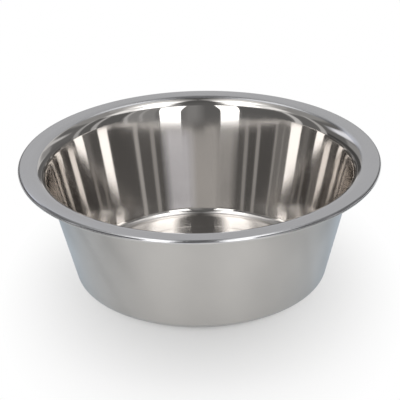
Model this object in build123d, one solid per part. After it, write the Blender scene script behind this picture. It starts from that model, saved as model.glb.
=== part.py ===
from build123d import *
import os
from math import cos, hypot, radians, sin, tan

# Stainless dog bowl: one drawn sheet with a hollow curled edge, and a rubber ring under its base.
# Millimetres and degrees, +Z up, the table at z = 0, the bowl's axis on Z.

# Sheet and overall size
rim_diameter = 260.0
overall_height = 89.5
sheet = 0.7

# Rim: flat flange, hollow curl at its edge, roll-over into the bowl
flange_width = 8.6
curl_diameter = 3.7
curl_turn = 270.0
rollover_radius = 12.0

# Flat band under the flange, between the roll-over and the curl, where the hoop of a stand bears
seat_clearance = 0.5

# Wall: one straight cone, leaning out from the base
wall_angle = 13.9

# Base: rounded corner, flat foot, raised centre panel
base_corner = 6.7
foot_width = 20.0
panel_rise = 1.8
panel_slope = 45.0
panel_bend = 1.6

# Rubber ring in the recess under the raised panel
ring_proud = 0.5
ring_width = 9.0
ring_clearance = 2.0
ring_edge = 0.7

# Places worked out from the sizes above
half = sheet / 2
rim_radius = rim_diameter / 2
curl_radius = curl_diameter / 2
foot_z = ring_proud + half
panel_z = foot_z + panel_rise
flange_z = overall_height - half
wall = radians(wall_angle)

seat_r = rim_radius - curl_diameter - seat_clearance

# The wall leaves the roll-over on a tangent, at the middle of the sheet
rollover_r = rim_radius - flange_width
rollover_z = overall_height - rollover_radius
rollover_mid = rollover_radius - half
leave_r = rollover_r - rollover_mid * cos(wall)
leave_z = rollover_z + rollover_mid * sin(wall)
base_r = leave_r - (leave_z - foot_z) * tan(wall)
corner_mid = base_corner - half
foot_r = base_r - corner_mid * tan((radians(90) - wall) / 2)
step_out_r = foot_r - foot_width
step_in_r = step_out_r - panel_rise / tan(radians(panel_slope))

# Middle line of the sheet: corner points, each with its bend radius
path = [
    ((0.0, panel_z), 0.0),
    ((step_in_r, panel_z), panel_bend),
    ((step_out_r, foot_z), panel_bend),
    ((base_r, foot_z), corner_mid),
    ((leave_r + (flange_z - leave_z) * tan(wall), flange_z), rollover_mid),
    ((rim_radius - curl_radius, flange_z), 0.0),
]


def unit(a, b):
    length = hypot(b[0] - a[0], b[1] - a[1])
    return ((b[0] - a[0]) / length, (b[1] - a[1]) / length)


def shifted(point, direction, side):
    """The point moved to the left of a direction by side."""
    return (point[0] - direction[1] * side, point[1] + direction[0] * side)


def face_of_sheet(side):
    """One face of the sheet, at side to the left of the middle line, as lines and arcs from the axis to the curl."""
    pieces = []
    here = shifted(path[0][0], unit(path[0][0], path[1][0]), side)
    for before, corner, after in zip(path, path[1:], path[2:]):
        arrive = unit(before[0], corner[0])
        leave = unit(corner[0], after[0])
        turn = arrive[0] * leave[1] - arrive[1] * leave[0]
        hand = 1.0 if turn > 0 else -1.0
        half_sine = hypot(leave[0] - arrive[0], leave[1] - arrive[1]) / 2
        half_cosine = (1 - half_sine * half_sine) ** 0.5
        tangent = corner[1] * half_sine / half_cosine
        first = (corner[0][0] - arrive[0] * tangent, corner[0][1] - arrive[1] * tangent)
        last = (corner[0][0] + leave[0] * tangent, corner[0][1] + leave[1] * tangent)
        centre = shifted(first, arrive, hand * corner[1])
        outward = unit(centre, corner[0])
        reach = corner[1] - hand * side
        start = shifted(first, arrive, side)
        middle = (centre[0] + outward[0] * reach, centre[1] + outward[1] * reach)
        end = shifted(last, leave, side)
        pieces.append((here, start))
        pieces.append((start, middle, end))
        here = end
    rim = shifted(path[-1][0], (1.0, 0.0), side)
    if side < 0:
        seat_edge = (seat_r, rim[1])
        pieces.append((here, seat_edge))
        here = seat_edge
    pieces.append((here, rim))
    reach = curl_radius - half + side
    centre = (rim_radius - curl_radius, overall_height - curl_radius)
    points = []
    for step in range(7):
        angle = radians(90.0 - curl_turn * step / 6)
        points.append((centre[0] + reach * cos(angle), centre[1] + reach * sin(angle)))
    pieces.append((points[0], points[1], points[2]))
    pieces.append((points[2], points[3], points[4]))
    pieces.append((points[4], points[5], points[6]))
    return pieces


def revolved(outline):
    """A solid turned about Z from a closed run of lines and arcs in the XZ plane, with a face for each of them."""
    edges = []
    for points in outline:
        corners = [(r, 0.0, z) for r, z in points]
        if len(corners) == 2:
            edges.append(Edge.make_line(*corners))
        else:
            edges.append(Edge.make_three_point_arc(*corners))
    return Solid.revolve(Face(Wire(edges)), 360.0, Axis.Z)


top_face = face_of_sheet(half)
under_face = face_of_sheet(-half)
curl_end = (top_face[-1][-1], under_face[-1][-1])
axis_end = (under_face[0][0], top_face[0][0])
bowl_shell = revolved(top_face + [curl_end] + under_face + [axis_end])

# The ring's top is bonded to the panel's underside; its two lower edges are rounded
ring_out = step_in_r - ring_clearance
ring_in = ring_out - ring_width
ring_top = panel_z - half
dip = ring_edge * (1 - cos(radians(45)))
anti_slip_ring = revolved(
    [
        ((ring_in, ring_top), (ring_out, ring_top)),
        ((ring_out, ring_top), (ring_out, ring_edge)),
        ((ring_out, ring_edge), (ring_out - dip, dip), (ring_out - ring_edge, 0.0)),
        ((ring_out - ring_edge, 0.0), (ring_in + ring_edge, 0.0)),
        ((ring_in + ring_edge, 0.0), (ring_in + dip, dip), (ring_in, ring_edge)),
        ((ring_in, ring_edge), (ring_in, ring_top)),
    ]
)

os.makedirs("parts", exist_ok=True)
export_step(bowl_shell, "parts/bowl_shell.step")
export_step(anti_slip_ring, "parts/anti_slip_ring.step")

print("flange inner edge r", round(rollover_r, 2), "roll-over leaves at r", round(leave_r, 2), "z", round(leave_z, 2))
print("base corner r", round(base_r, 2), "foot edge r", round(foot_r, 2), "panel edge r", round(step_in_r, 2))
print("shell volume mm3", round(bowl_shell.volume, 1), "ring volume mm3", round(anti_slip_ring.volume, 1))
print("shell box", bowl_shell.bounding_box(), "ring box", anti_slip_ring.bounding_box())
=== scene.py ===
import math

import bpy
from mathutils import Matrix, Vector


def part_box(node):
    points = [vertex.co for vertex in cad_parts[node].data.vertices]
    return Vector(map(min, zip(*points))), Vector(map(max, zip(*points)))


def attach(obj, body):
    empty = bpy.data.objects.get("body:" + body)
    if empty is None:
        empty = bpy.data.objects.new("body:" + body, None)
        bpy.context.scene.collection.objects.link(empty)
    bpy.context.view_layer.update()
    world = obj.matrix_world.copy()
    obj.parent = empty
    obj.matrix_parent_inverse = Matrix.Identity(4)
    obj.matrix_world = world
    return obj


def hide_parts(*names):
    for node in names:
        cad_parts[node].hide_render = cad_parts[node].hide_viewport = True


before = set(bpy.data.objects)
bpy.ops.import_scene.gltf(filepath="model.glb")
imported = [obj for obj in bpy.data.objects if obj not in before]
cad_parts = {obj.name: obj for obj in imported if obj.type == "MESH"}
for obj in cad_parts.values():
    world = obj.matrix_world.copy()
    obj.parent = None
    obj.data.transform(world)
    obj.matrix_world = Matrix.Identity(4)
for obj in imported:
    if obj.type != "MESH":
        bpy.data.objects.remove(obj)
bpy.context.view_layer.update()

scene = bpy.context.scene
scene.view_settings.view_transform = "Standard"

# The polished inside mirrors itself many times over before the light leaves the bowl, and stays sharp
BOUNCES = 20
scene.cycles.max_bounces = BOUNCES
scene.cycles.glossy_bounces = BOUNCES
scene.cycles.blur_glossy = 0.0


# Sizes of the bowl in metres and radians.
# The outer ones are read from the frame, the others are those of the solids.
shell_low, shell_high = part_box("bowl_shell")
RIM_RADIUS = min(shell_high.x, shell_high.y, -shell_low.x, -shell_low.y)
TOP = shell_high.z
FOOT = shell_low.z
SHEET = 0.0007
FLANGE_WIDTH = 0.0086
CURL_RADIUS = 0.00185
CURL_TURN = math.radians(270)
ROLLOVER = 0.012
WALL = math.radians(13.9)
BASE_CORNER = 0.0067
FOOT_WIDTH = 0.020
PANEL_RISE = 0.0018
PANEL_BEND = 0.0016

# Fineness of the mesh: steps round the axis, steps along the section, and what is welded or stays sharp
SEGMENTS = 256
LONGEST_RUN = 0.006
ARC_STEP = math.radians(4.5)
FEWEST_ARC_STEPS = 6
CURL_STEPS = 32
WELD = 0.000002
SHARP_ANGLE = math.radians(35)


# Section of the drawn sheet, as in the solids: corners of its middle line, each with its bend radius.
# The step up to the floor panel slopes at 45 degrees, so it is as wide as it is high.
half = SHEET / 2
foot_z = FOOT + half
panel_z = foot_z + PANEL_RISE
flange_z = TOP - half
rollover_mid = ROLLOVER - half
leave_r = RIM_RADIUS - FLANGE_WIDTH - rollover_mid * math.cos(WALL)
leave_z = TOP - ROLLOVER + rollover_mid * math.sin(WALL)
base_r = leave_r - (leave_z - foot_z) * math.tan(WALL)
corner_mid = BASE_CORNER - half
foot_r = base_r - corner_mid * math.tan((math.pi / 2 - WALL) / 2)
step_out_r = foot_r - FOOT_WIDTH
step_in_r = step_out_r - PANEL_RISE
curl_centre = Vector((RIM_RADIUS - CURL_RADIUS, TOP - CURL_RADIUS))
middle_line = [
    (Vector((0, panel_z)), 0),
    (Vector((step_in_r, panel_z)), PANEL_BEND),
    (Vector((step_out_r, foot_z)), PANEL_BEND),
    (Vector((base_r, foot_z)), corner_mid),
    (Vector((leave_r + (flange_z - leave_z) * math.tan(WALL), flange_z)), rollover_mid),
    (Vector((curl_centre.x, flange_z)), 0),
]


def left_of(direction):
    """The direction a quarter turn to the left."""
    return Vector((-direction.y, direction.x))


def run_between(a, b):
    """Points from a towards b, without b, no further apart than the longest run."""
    count = max(1, math.ceil((b - a).length / LONGEST_RUN))
    return [a.lerp(b, i / count) for i in range(count)]


def arc_round(centre, spoke, turn, count):
    """Points from the end of a spoke round a centre through a turn, without the last."""
    return [centre + Matrix.Rotation(turn * i / count, 2) @ spoke for i in range(count)]


def sheet_face(side):
    """One face of the sheet, at side to the left of its middle line, from the axis to the end of the curl."""
    points = []
    here = middle_line[0][0] + Vector((0, side))
    for (before, _), (corner, radius), (after, _) in zip(middle_line, middle_line[1:], middle_line[2:]):
        arrive = (corner - before).normalized()
        leave = (after - corner).normalized()
        turn = math.atan2(arrive.x * leave.y - arrive.y * leave.x, arrive.dot(leave))
        hand = math.copysign(1, turn)
        centre = corner - arrive * radius * math.tan(abs(turn) / 2) + left_of(arrive) * hand * radius
        spoke = -left_of(arrive) * hand * (radius - hand * side)
        points += run_between(here, centre + spoke)
        points += arc_round(centre, spoke, turn, max(FEWEST_ARC_STEPS, math.ceil(abs(turn) / ARC_STEP)))
        here = centre + Matrix.Rotation(turn, 2) @ spoke
    spoke = Vector((0, CURL_RADIUS - half + side))
    points += run_between(here, curl_centre + spoke)
    points += arc_round(curl_centre, spoke, -CURL_TURN, CURL_STEPS)
    points.append(curl_centre + Matrix.Rotation(-CURL_TURN, 2) @ spoke)
    return points


# Finishes along the section: buffed from the floor to halfway across the roll-over, satin on the flange and
# the curl, brushed on the curl's lower outer quarter and the whole under face.
# Each finish is the number of its material's name in the list.
FINISHES = ["Inside", "Flange", "Outside"]
INSIDE, FLANGE, OUTSIDE = range(3)
buffed_edge = RIM_RADIUS - FLANGE_WIDTH - ROLLOVER / 2


def finish_above(point):
    """The finish of the sheet's upper face at a point of it."""
    if point.x < buffed_edge:
        return INSIDE
    if point.x > curl_centre.x and point.y < curl_centre.y:
        return OUTSIDE
    return FLANGE


section = [(point, finish_above(point)) for point in sheet_face(half)]
section += [(point, OUTSIDE) for point in reversed(sheet_face(-half))]


def linear(code):
    """An sRGB hex code as linear red, green, blue and alpha."""
    values = []
    for i in (0, 2, 4):
        v = int(code[i:i + 2], 16) / 255
        values.append(v / 12.92 if v <= 0.04045 else ((v + 0.055) / 1.055) ** 2.4)
    return (*values, 1.0)


def add(tree, kind, settings=None, inputs=None):
    """Adds a node with its settings; each input takes a plain value or another node's socket."""
    made = tree.nodes.new(kind)
    for name, value in (settings or {}).items():
        setattr(made, name, value)
    for name, value in (inputs or {}).items():
        if isinstance(value, bpy.types.NodeSocket):
            tree.links.new(value, made.inputs[name])
        else:
            made.inputs[name].default_value = value
    return made


def new_material(name):
    """An empty material and its node tree."""
    material = bpy.data.materials.new(name)
    material.use_nodes = True
    material.node_tree.nodes.clear()
    return material, material.node_tree


# Patterns: MM over a size in millimetres is how often a pattern of that size repeats in a metre
MM = 1000.0

# The polishing lines run round the axis. A quarter turn makes them spread reflections across themselves.
AXIS = (0, 0, 1)
QUARTER_TURN = 0.25


def buffed_steel():
    """Stainless sheet buffed with compound round the axis: it mirrors sharply along the rim, and the fine
    lines round it, too fine to be seen, draw each reflection out up and down the wall. The drawn sheet is
    never quite even, so edges waver."""
    # Buffing lines, drawn coarser than real ones, which are far finer than a pixel.
    # The uneven map makes faint patches of gloss of them.
    line_mm = 0.9
    line_breaks = 3.0
    line_change = 0.01
    ripple_mm = 22
    ripple_length_mm = 400
    ripple_height = 0.00002
    smear_mm = 35
    smear_change = 1.08
    # Share of the bowl's height and roughness there: the floor is hazier than the wall
    levels = ((0.036, 0.12), (0.07, 0.07), (0.62, 0.07), (0.76, 0.06))

    material, tree = new_material("stainless_buffed_inside")
    place = add(tree, "ShaderNodeTexCoord").outputs["Object"]
    along = add(tree, "ShaderNodeUVMap", {"uv_map": "turned"})
    lines_at = add(tree, "ShaderNodeMapping", None, {
        "Vector": along.outputs["UV"], "Scale": (MM / line_mm, line_breaks, 1.0)})
    lines = add(tree, "ShaderNodeTexNoise", None, {
        "Vector": lines_at.outputs[0], "Scale": 1.0, "Detail": 3.0})
    ripples_at = add(tree, "ShaderNodeMapping", None, {
        "Vector": place, "Scale": (MM / ripple_mm, MM / ripple_mm, MM / ripple_length_mm)})
    ripples = add(tree, "ShaderNodeTexNoise", None, {
        "Vector": ripples_at.outputs[0], "Scale": 1.0, "Detail": 1.5})
    smears = add(tree, "ShaderNodeTexNoise", None, {"Vector": place, "Scale": MM / smear_mm, "Detail": 4.0})
    line_level = add(tree, "ShaderNodeMapRange", None, {
        "Value": lines.outputs["Fac"], "From Min": 0.3, "From Max": 0.7,
        "To Min": -line_change, "To Max": line_change})
    height = add(tree, "ShaderNodeSeparateXYZ", None, {"Vector": place})
    share = add(tree, "ShaderNodeMapRange", None, {"Value": height.outputs["Z"], "From Max": TOP})
    polish = add(tree, "ShaderNodeValToRGB", None, {"Fac": share.outputs[0]})
    stops = polish.color_ramp.elements
    for i, (at, rough) in enumerate(levels):
        stop = stops[i] if i < 2 else stops.new(at)
        stop.position = at
        stop.color = (rough, rough, rough, 1.0)
    smear_level = add(tree, "ShaderNodeMapRange", None, {
        "Value": smears.outputs["Fac"], "From Min": 0.45, "From Max": 0.75,
        "To Min": 1.0, "To Max": smear_change})
    spread = add(tree, "ShaderNodeMath", {"operation": "MULTIPLY"}, {
        0: polish.outputs["Color"], 1: smear_level.outputs[0]})
    roughness = add(tree, "ShaderNodeMath", {"operation": "ADD"}, {
        0: line_level.outputs[0], 1: spread.outputs[0]})
    tone = add(tree, "ShaderNodeMix", {"data_type": "RGBA"}, {
        0: smears.outputs["Fac"], 6: linear("D9D5D1"), 7: linear("D3D0CD")})
    wave = add(tree, "ShaderNodeBump", None, {
        "Strength": 1.0, "Distance": ripple_height, "Height": ripples.outputs["Fac"]})
    around = add(tree, "ShaderNodeVectorMath", {"operation": "CROSS_PRODUCT"}, {0: AXIS, 1: place})
    steel = add(tree, "ShaderNodeBsdfPrincipled", None, {
        "Base Color": tone.outputs[2], "Metallic": 1.0, "Roughness": roughness.outputs[0],
        "Anisotropic": 1.0, "Anisotropic Rotation": QUARTER_TURN,
        "Normal": wave.outputs[0], "Tangent": around.outputs[0]})
    add(tree, "ShaderNodeOutputMaterial", None, {"Surface": steel.outputs[0]})
    return material


def satin_steel(name, rough, smudge, anisotropic, tones, glancing):
    """Stainless sheet finished with a fine belt round the axis: soft reflections, drawn out across the lines
    of the belt. Smudges make it a little rougher, and at a flat angle it takes the glancing tint."""
    # Belt lines, drawn coarser than real ones, which are far finer than a pixel.
    # The uneven map makes faint patches of gloss of them.
    line_mm = 1.0
    line_breaks = 5.0
    line_change = 0.04
    line_height = 0.00001
    smear_mm = 45

    material, tree = new_material(name)
    place = add(tree, "ShaderNodeTexCoord").outputs["Object"]
    along = add(tree, "ShaderNodeUVMap", {"uv_map": "turned"})
    lines_at = add(tree, "ShaderNodeMapping", None, {
        "Vector": along.outputs["UV"], "Scale": (MM / line_mm, line_breaks, 1.0)})
    lines = add(tree, "ShaderNodeTexNoise", None, {
        "Vector": lines_at.outputs[0], "Scale": 1.0, "Detail": 4.0})
    smears = add(tree, "ShaderNodeTexNoise", None, {"Vector": place, "Scale": MM / smear_mm, "Detail": 3.0})
    line_level = add(tree, "ShaderNodeMapRange", None, {
        "Value": lines.outputs["Fac"], "From Min": 0.3, "From Max": 0.7,
        "To Min": -line_change, "To Max": line_change})
    smear_level = add(tree, "ShaderNodeMapRange", None, {
        "Value": smears.outputs["Fac"], "From Min": 0.4, "From Max": 0.75,
        "To Min": rough, "To Max": rough + smudge})
    roughness = add(tree, "ShaderNodeMath", {"operation": "ADD"}, {
        0: line_level.outputs[0], 1: smear_level.outputs[0]})
    tone = add(tree, "ShaderNodeMix", {"data_type": "RGBA"}, {
        0: smears.outputs["Fac"], 6: linear(tones[0]), 7: linear(tones[1])})
    grain = add(tree, "ShaderNodeBump", None, {
        "Strength": 0.35, "Distance": line_height, "Height": lines.outputs["Fac"]})
    around = add(tree, "ShaderNodeVectorMath", {"operation": "CROSS_PRODUCT"}, {0: AXIS, 1: place})
    steel = add(tree, "ShaderNodeBsdfPrincipled", None, {
        "Base Color": tone.outputs[2], "Metallic": 1.0, "Roughness": roughness.outputs[0],
        "Anisotropic": anisotropic, "Anisotropic Rotation": QUARTER_TURN, "Specular Tint": linear(glancing),
        "Normal": grain.outputs[0], "Tangent": around.outputs[0]})
    add(tree, "ShaderNodeOutputMaterial", None, {"Surface": steel.outputs[0]})
    return material


def moulded_rubber():
    """Black rubber moulded in a blasted tool: matt, with a fine even grain and a little pale bloom."""
    # The grain of a blasted tool is finer than this, and is drawn coarser to show
    grit_mm = 0.8
    grit_height = 0.0001
    bloom_mm = 14

    material, tree = new_material("rubber_moulded_ring")
    place = add(tree, "ShaderNodeTexCoord").outputs["Object"]
    grit = add(tree, "ShaderNodeTexNoise", None, {"Vector": place, "Scale": MM / grit_mm, "Detail": 3.0})
    bloom = add(tree, "ShaderNodeTexNoise", None, {"Vector": place, "Scale": MM / bloom_mm, "Detail": 4.0})
    tone = add(tree, "ShaderNodeMix", {"data_type": "RGBA"}, {
        0: bloom.outputs["Fac"], 6: linear("27272A"), 7: linear("38383A")})
    roughness = add(tree, "ShaderNodeMapRange", None, {
        "Value": grit.outputs["Fac"], "To Min": 0.62, "To Max": 0.85})
    grain = add(tree, "ShaderNodeBump", None, {
        "Strength": 0.4, "Distance": grit_height, "Height": grit.outputs["Fac"]})
    rubber = add(tree, "ShaderNodeBsdfPrincipled", None, {
        "Base Color": tone.outputs[2], "Roughness": roughness.outputs[0], "IOR": 1.52,
        "Normal": grain.outputs[0]})
    add(tree, "ShaderNodeOutputMaterial", None, {"Surface": rubber.outputs[0]})
    return material


inside_steel = buffed_steel()
flange_steel = satin_steel(
    "stainless_satin_flange", rough=0.15, smudge=0.04, anisotropic=0.4,
    tones=("C2C2C4", "BCBCBE"), glancing="FFFFFF")
outside_steel = satin_steel(
    "stainless_brushed_outside", rough=0.46, smudge=0.06, anisotropic=0.7,
    tones=("CECBC7", "C7C5C2"), glancing="DCEEFF")


def lathe_tree():
    """Geometry Nodes that turn a section about Z: one row for each point of the section, one column for each
    step."""
    tree = bpy.data.node_groups.new("turned_sheet", "GeometryNodeTree")
    face = tree.interface
    face.new_socket("Geometry", in_out="INPUT", socket_type="NodeSocketGeometry")
    face.new_socket("Segments", in_out="INPUT", socket_type="NodeSocketInt")
    face.new_socket("Weld", in_out="INPUT", socket_type="NodeSocketFloat")
    face.new_socket("Sharp Angle", in_out="INPUT", socket_type="NodeSocketFloat")
    for name in FINISHES:
        face.new_socket(name, in_out="INPUT", socket_type="NodeSocketMaterial")
    face.new_socket("Geometry", in_out="OUTPUT", socket_type="NodeSocketGeometry")

    # Row and column of each point of a flat grid, counted from its number
    start = add(tree, "NodeGroupInput").outputs
    count = add(tree, "GeometryNodeAttributeDomainSize", None, {"Geometry": start["Geometry"]})
    columns = add(tree, "ShaderNodeMath", {"operation": "ADD"}, {0: start["Segments"], 1: 1.0})
    grid = add(tree, "GeometryNodeMeshGrid", None, {
        "Vertices X": count.outputs["Point Count"], "Vertices Y": columns.outputs[0]})
    index = add(tree, "GeometryNodeInputIndex")
    middle = add(tree, "ShaderNodeMath", {"operation": "ADD"}, {0: index.outputs[0], 1: 0.5})
    share = add(tree, "ShaderNodeMath", {"operation": "DIVIDE"}, {
        0: middle.outputs[0], 1: columns.outputs[0]})
    row = add(tree, "ShaderNodeMath", {"operation": "FLOOR"}, {0: share.outputs[0]})
    before = add(tree, "ShaderNodeMath", {"operation": "MULTIPLY"}, {
        0: row.outputs[0], 1: columns.outputs[0]})
    column = add(tree, "ShaderNodeMath", {"operation": "SUBTRACT"}, {
        0: index.outputs[0], 1: before.outputs[0]})
    turn = add(tree, "ShaderNodeMath", {"operation": "DIVIDE"}, {
        0: column.outputs[0], 1: start["Segments"]})

    # Each row takes its place from the section, and each column is turned about the axis
    angle = add(tree, "ShaderNodeMath", {"operation": "MULTIPLY"}, {0: turn.outputs[0], 1: 2 * math.pi})
    place = add(tree, "GeometryNodeInputPosition")
    point = add(tree, "GeometryNodeSampleIndex", {"data_type": "FLOAT_VECTOR"}, {
        "Geometry": start["Geometry"], "Value": place.outputs[0], "Index": row.outputs[0]})
    turned = add(tree, "ShaderNodeVectorRotate", {"rotation_type": "Z_AXIS"}, {
        "Vector": point.outputs[0], "Angle": angle.outputs[0]})
    sheet = add(tree, "GeometryNodeSetPosition", None, {
        "Geometry": grid.outputs["Mesh"], "Position": turned.outputs[0]})

    # The finish is stored on the points, and the map named turned on the corners of the faces. The map counts
    # rows and columns from the numbers of the corners, so it is uneven and not the sheet truly unrolled.
    carried = {}
    for name in ("finish", "along"):
        kept = add(tree, "GeometryNodeInputNamedAttribute", None, {"Name": name})
        carried[name] = add(tree, "GeometryNodeSampleIndex", None, {
            "Geometry": start["Geometry"], "Value": kept.outputs[0], "Index": row.outputs[0]})
    sheet = add(tree, "GeometryNodeStoreNamedAttribute", None, {
        "Geometry": sheet.outputs[0], "Name": "finish", "Value": carried["finish"].outputs[0]})
    unrolled = add(tree, "ShaderNodeCombineXYZ", None, {
        "X": carried["along"].outputs[0], "Y": turn.outputs[0]})
    sheet = add(tree, "GeometryNodeStoreNamedAttribute", {"data_type": "FLOAT2", "domain": "CORNER"}, {
        "Geometry": sheet.outputs[0], "Name": "turned", "Value": unrolled.outputs[0]})

    # The seam and both poles are welded, and only the edges at the end of the curl stay sharp
    sheet = add(tree, "GeometryNodeMergeByDistance", None, {
        "Geometry": sheet.outputs[0], "Distance": start["Weld"]})
    sheet = add(tree, "GeometryNodeSetShadeSmooth", {"domain": "FACE"}, {"Geometry": sheet.outputs[0]})
    edge = add(tree, "GeometryNodeInputMeshEdgeAngle")
    sharp = add(tree, "FunctionNodeCompare", {"operation": "GREATER_THAN"}, {
        0: edge.outputs[0], 1: start["Sharp Angle"]})
    sheet = add(tree, "GeometryNodeSetShadeSmooth", {"domain": "EDGE"}, {
        "Geometry": sheet.outputs[0], "Selection": sharp.outputs[0], "Shade Smooth": False})
    sheet = add(tree, "GeometryNodeRealizeInstances", None, {"Geometry": sheet.outputs[0]})

    # A face takes the last finish that its corners reach on average, to within this share of a step
    reached = 0.25
    finish = add(tree, "GeometryNodeInputNamedAttribute", None, {"Name": "finish"})
    for number, name in enumerate(FINISHES):
        chosen = add(tree, "FunctionNodeCompare", {"operation": "GREATER_THAN"}, {
            0: finish.outputs[0], 1: number - reached})
        sheet = add(tree, "GeometryNodeSetMaterial", None, {
            "Geometry": sheet.outputs[0], "Selection": chosen.outputs[0], "Material": start[name]})
    add(tree, "NodeGroupOutput", None, {"Geometry": sheet.outputs[0]})
    return tree


def turned_bowl():
    """The bowl as one turned sheet, in place of its solid."""
    outline = bpy.data.meshes.new("bowl_section")
    edges = [(i, i + 1) for i in range(len(section) - 1)]
    outline.from_pydata([(point.x, 0, point.y) for point, _ in section], edges, [])
    finish = outline.attributes.new("finish", "FLOAT", "POINT")
    finish.data.foreach_set("value", [number for _, number in section])
    reach = [0.0]
    for (a, _), (b, _) in zip(section, section[1:]):
        reach.append(reach[-1] + (b - a).length)
    along = outline.attributes.new("along", "FLOAT", "POINT")
    along.data.foreach_set("value", reach)
    maker = bpy.data.objects.new("bowl_section", outline)
    scene.collection.objects.link(maker)
    tree = lathe_tree()
    modifier = maker.modifiers.new("turned_sheet", "NODES")
    modifier.node_group = tree
    values = {
        "Segments": SEGMENTS,
        "Weld": WELD,
        "Sharp Angle": SHARP_ANGLE,
        "Inside": inside_steel,
        "Flange": flange_steel,
        "Outside": outside_steel,
    }
    for item in tree.interface.items_tree:
        if item.in_out == "INPUT" and item.name in values:
            modifier[item.identifier] = values[item.name]
    graph = bpy.context.evaluated_depsgraph_get()
    mesh = bpy.data.meshes.new_from_object(
        maker.evaluated_get(graph), preserve_all_data_layers=True, depsgraph=graph)
    mesh.name = "bowl_drawn_sheet"
    maker.modifiers.remove(modifier)
    bpy.data.objects.remove(maker)
    made = bpy.data.objects.new("bowl_drawn_sheet", mesh)
    scene.collection.objects.link(made)
    return made


bowl = turned_bowl()
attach(bowl, "root")
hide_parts("bowl_shell")

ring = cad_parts["anti_slip_ring"]
ring.data.materials.clear()
ring.data.materials.append(moulded_rubber())


def aimed(azimuth, elevation, distance):
    """A place round the bowl: azimuth from the camera's side and to its right, elevation above the table."""
    a = math.radians(azimuth)
    e = math.radians(elevation)
    return Vector((math.sin(a) * math.cos(e), -math.cos(a) * math.cos(e), math.sin(e))) * distance


def fading(value, first, last, width):
    """1 well between first and last, falling to 0 over a width at each end."""
    return min(1.0, (value - first) / width, (last - value) / width) if width else 1.0


# Degrees between the points of a bent card
CARD_STEP = 2


def card(name, azimuths, elevations, share, soft=0, fade=0, tint="FFFFFF", distance=6.4):
    """A card bent round the set, seen only in reflections. It glows at a share of white. Its upright ends
    fade out over soft degrees, and its lower and upper edges over fade degrees. Where cards overlap, the
    nearer one is in front."""
    first, last = azimuths
    low, high = elevations
    across = max(1, math.ceil((last - first) / CARD_STEP))
    rows = max(1, math.ceil((high - low) / CARD_STEP))
    points = []
    solid = []
    for i in range(across + 1):
        azimuth = first + (last - first) * i / across
        for j in range(rows + 1):
            height = low + (high - low) * j / rows
            points.append(aimed(azimuth, height, distance))
            solid.append(fading(azimuth, first, last, soft) * fading(height, low, high, fade))
    faces = []
    for i in range(across):
        for j in range(rows):
            k = i * (rows + 1) + j
            faces.append((k, k + 1, k + rows + 2, k + rows + 1))
    mesh = bpy.data.meshes.new(name)
    mesh.from_pydata(points, [], faces)
    mesh.attributes.new("solid", "FLOAT", "POINT").data.foreach_set("value", solid)
    material, tree = new_material(name)
    cover = add(tree, "ShaderNodeAttribute", {"attribute_name": "solid"})
    clear = add(tree, "ShaderNodeBsdfTransparent")
    light = add(tree, "ShaderNodeEmission", None, {"Color": linear(tint), "Strength": share})
    mixed = add(tree, "ShaderNodeMixShader", None, {
        0: cover.outputs["Fac"], 1: clear.outputs[0], 2: light.outputs[0]})
    add(tree, "ShaderNodeOutputMaterial", None, {"Surface": mixed.outputs[0]})
    mesh.materials.append(material)
    made = bpy.data.objects.new(name, mesh)
    scene.collection.objects.link(made)
    made.visible_camera = False
    made.visible_diffuse = False
    made.visible_shadow = False


def card_pair(name, azimuths, elevations, share, **edges):
    """The same card on the right and, mirrored, on the left. The name has a place for the side."""
    near, far = azimuths
    card(name.format("right"), (near, far), elevations, share, **edges)
    card(name.format("left"), (-far, -near), elevations, share, **edges)


# Studio: a dark curtain all round with a ceiling, a ring overhead that is bright in front and dim behind,
# and dark strips across it in front and behind
card("curtain", (-180, 180), (-2, 66), 0.17, distance=7.8)
card("curtain_high", (-180, 180), (42, 68), 0.34, fade=4, distance=7.6)
card("ceiling", (-180, 180), (60, 89), 0.45, distance=7.4)
card_pair("ring_{}", (8, 112), (63, 84), 2.6, soft=16, fade=8, distance=7.0)
card_pair("ring_{}_back", (100, 176), (63, 84), 0.9, soft=12, fade=8, distance=7.1)
card("overhead_front", (-40, 40), (62, 90), 0.12, soft=16, distance=6.9)
card("overhead_back", (150, 210), (68, 90), 0.12, soft=16, distance=6.9)

# High cards round the set
card_pair("high_back_{}", (146, 174), (48, 68), 1.4, soft=8, fade=6, distance=6.8)
card("high_behind", (170, 190), (47, 70), 0.22, soft=5, fade=3, distance=6.6)
card_pair("high_{}", (24, 70), (48, 68), 3.0, soft=12, fade=6)
card_pair("high_far_{}", (60, 100), (46, 66), 1.2, soft=12, fade=6, distance=6.5)
card("front_high", (-22, 20), (46, 70), 0.14, soft=5, fade=3, distance=6.2)

# Cards behind the bowl
card("behind", (143, 202), (-2, 47), 0.66, soft=10, distance=6.8)
card("back_left", (-176, -118), (26, 38), 1.15, soft=16, fade=3, tint="F3F6FF")
card("back_left_low", (-168, -138), (12, 27), 0.34, soft=5, fade=3)
card("back_right", (116, 160), (26, 35), 0.7, soft=14, fade=3)
card("back_right_low", (138, 160), (13, 27), 0.34, soft=5, fade=3)
card("low_left", (-172, -110), (-2, 13), 0.08, soft=3)
card("low_right", (110, 172), (-2, 13), 0.15, soft=3)

# Broad cards in front and at the sides, which the back of the inside mirrors
card("front_left", (-20, 2), (-2, 48), 0.15, soft=6)
card("front_right", (-6, 15), (-2, 48), 0.28, soft=8, distance=6.3)
card("left_front", (-75, -33), (-2, 48), 0.14, soft=3)
card("right_front", (30, 60), (-2, 48), 0.3, soft=4)
card("right", (60, 101), (-2, 48), 0.14, soft=3)

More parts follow.
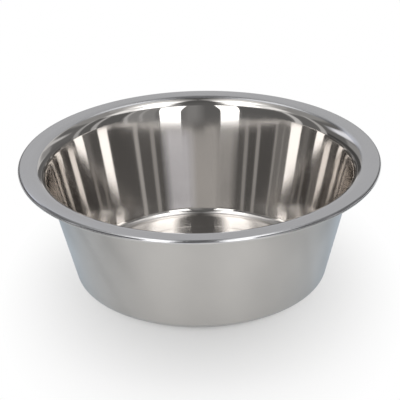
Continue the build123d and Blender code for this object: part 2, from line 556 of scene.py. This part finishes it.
# Narrow upright strips at the sides, for the pale streaks in the wall
for name, first, last, share in (
        ("strip_left", -86, -77, 0.68), ("strip_left_back", -112, -103, 0.52),
        ("strip_right_near", 42, 47, 0.46), ("strip_right_front", 54, 60, 0.5),
        ("strip_right", 82, 90, 0.52), ("strip_right_back", 101, 109, 0.46)):
    card(name, (first, last), (-2, 50), share, soft=2, fade=4, distance=6.0)

# Black flags low beside the bowl, for the dark outline of its curled edge
card_pair("flag_{}", (32, 112), (0, 13), 0.02, soft=10, distance=0.26)


def softbox(name, azimuth, elevation, width, height, share, on_table=False, distance=1.5):
    """A softbox of a width and height in degrees, as seen from the bowl, that glows at a share of white. It
    is seen only in reflections, or else gives only matt light, as on the table."""
    light = bpy.data.lights.new(name, "AREA")
    light.shape = "RECTANGLE"
    light.size = 2 * distance * math.tan(math.radians(width / 2))
    light.size_y = 2 * distance * math.tan(math.radians(height / 2))
    light.energy = share * math.pi * light.size * light.size_y
    lamp = bpy.data.objects.new(name, light)
    lamp.location = aimed(azimuth, elevation, distance)
    lamp.rotation_euler = lamp.location.to_track_quat("Z", "Y").to_euler()
    lamp.visible_camera = False
    lamp.visible_diffuse = on_table
    lamp.visible_glossy = not on_table
    scene.collection.objects.link(lamp)


softbox("softbox_right", 22, 24, 17, 50, 2.3)
softbox("softbox_left", -25, 24, 15, 50, 2.3)
softbox("softbox_top", 180, 70, 36, 24, 1.8, on_table=True)

# World: a pale even light from all round on the table and the rubber. The cards hide it from reflections.
world = bpy.data.worlds.new("studio")
scene.world = world
world.use_nodes = True
world.node_tree.nodes.clear()
sky = add(world.node_tree, "ShaderNodeBackground", None, {"Color": linear("E7E7E7"), "Strength": 1.0})
add(world.node_tree, "ShaderNodeOutputWorld", None, {"Surface": sky.outputs[0]})


def pale_table():
    """White laminate: matt, with the bowl's shadow near it, and plain white further off."""
    # The shadow is kept most a little in front of the axis, and further to front and back than to the sides
    shadow_shift = (0, 0.025, 0)
    shadow_shape = (1.5, 1.0, 1.0)
    shadow_from = 0.03
    shadow_to = 0.22

    material, tree = new_material("table_white_laminate")
    place = add(tree, "ShaderNodeTexCoord")
    middle = add(tree, "ShaderNodeMapping", None, {
        "Vector": place.outputs["Object"], "Location": shadow_shift, "Scale": shadow_shape})
    far = add(tree, "ShaderNodeVectorMath", {"operation": "LENGTH"}, {0: middle.outputs[0]})
    fade = add(tree, "ShaderNodeMapRange", None, {
        "Value": far.outputs["Value"], "From Min": shadow_from, "From Max": shadow_to})
    rays = add(tree, "ShaderNodeLightPath").outputs
    seen = add(tree, "ShaderNodeMath", {"operation": "MAXIMUM"}, {
        0: rays["Is Camera Ray"], 1: rays["Is Glossy Ray"]})
    seen = add(tree, "ShaderNodeMath", {"operation": "MAXIMUM"}, {
        0: seen.outputs[0], 1: rays["Is Transmission Ray"]})
    share = add(tree, "ShaderNodeMath", {"operation": "MULTIPLY"}, {0: fade.outputs[0], 1: seen.outputs[0]})
    matt = add(tree, "ShaderNodeBsdfDiffuse", None, {"Color": linear("F6F6F6")})
    white = add(tree, "ShaderNodeEmission", None, {"Color": linear("FFFFFF"), "Strength": 1.0})
    mixed = add(tree, "ShaderNodeMixShader", None, {
        0: share.outputs[0], 1: matt.outputs[0], 2: white.outputs[0]})
    add(tree, "ShaderNodeOutputMaterial", None, {"Surface": mixed.outputs[0]})
    return material


# Table: one square face, wider than the ring of cards
HALF_TABLE = 8
table_mesh = bpy.data.meshes.new("table")
corners = [(x * HALF_TABLE, y * HALF_TABLE, 0) for x, y in ((-1, -1), (1, -1), (1, 1), (-1, 1))]
table_mesh.from_pydata(corners, [], [(0, 1, 2, 3)])
table_mesh.materials.append(pale_table())
table = bpy.data.objects.new("table", table_mesh)
scene.collection.objects.link(table)


# Camera: above the rim on the bowl's front side, with the photograph's slight lean, in metres and radians.
# The focal length is in pixels of a picture that is as wide as the photograph.
ELEVATION = math.radians(25.86)
LEAN = -0.0227
TARGET = Vector((-0.0001, 0, 0.056))
DISTANCE = 1.17
SENSOR_MM = 36
FOCAL_PIXELS = 1610
PICTURE_PIXELS = 400
back = Vector((0, -math.cos(ELEVATION), math.sin(ELEVATION)))
right = Vector((1, 0, 0))
up = right.cross(-back)
leaning_right = right * math.cos(LEAN) + up * math.sin(LEAN)
leaning_up = up * math.cos(LEAN) - right * math.sin(LEAN)
camera_data = bpy.data.cameras.new("camera")
camera_data.sensor_width = SENSOR_MM
camera_data.lens = SENSOR_MM * FOCAL_PIXELS / PICTURE_PIXELS
camera = bpy.data.objects.new("camera", camera_data)
scene.collection.objects.link(camera)
turned_view = Matrix((leaning_right, leaning_up, back)).transposed().to_4x4()
camera.matrix_world = Matrix.Translation(TARGET + back * DISTANCE) @ turned_view
scene.camera = camera
